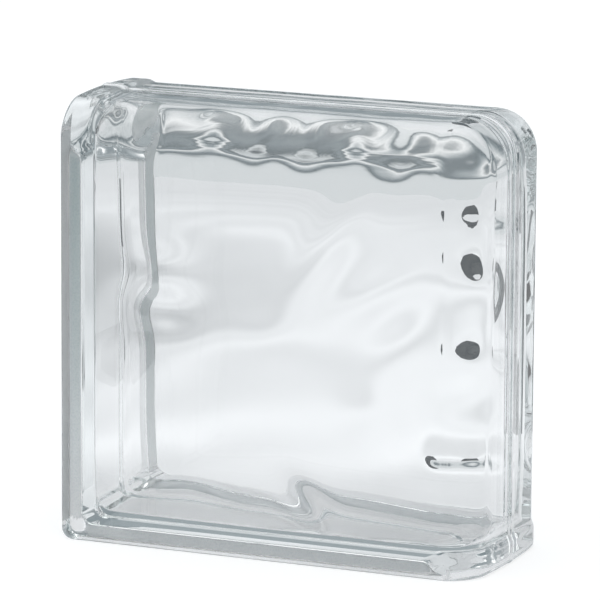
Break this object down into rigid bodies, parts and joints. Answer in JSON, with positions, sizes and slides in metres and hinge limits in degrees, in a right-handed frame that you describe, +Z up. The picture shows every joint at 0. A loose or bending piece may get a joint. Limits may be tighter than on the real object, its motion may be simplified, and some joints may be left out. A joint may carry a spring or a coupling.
{
  "type": "hollow glass block",
  "caption": "Square hollow glass block with waved faces, two smooth rounded finished sides and two recessed mortar sides.",
  "frame": {"origin": "centre of the footprint, on the plane of the bottom rims, midway between the faces", "axes": "+X towards the right finished side, +Y from the front face to the rear face, +Z up towards the top finished side"},
  "size_m": [0.19, 0.08, 0.19],
  "materials": {
    "glass": "clear pressed glass, fire polished"
  },
  "bodies": {
    "root": {"front_half": "glass", "rear_half": "glass"}
  },
  "joints": []
}
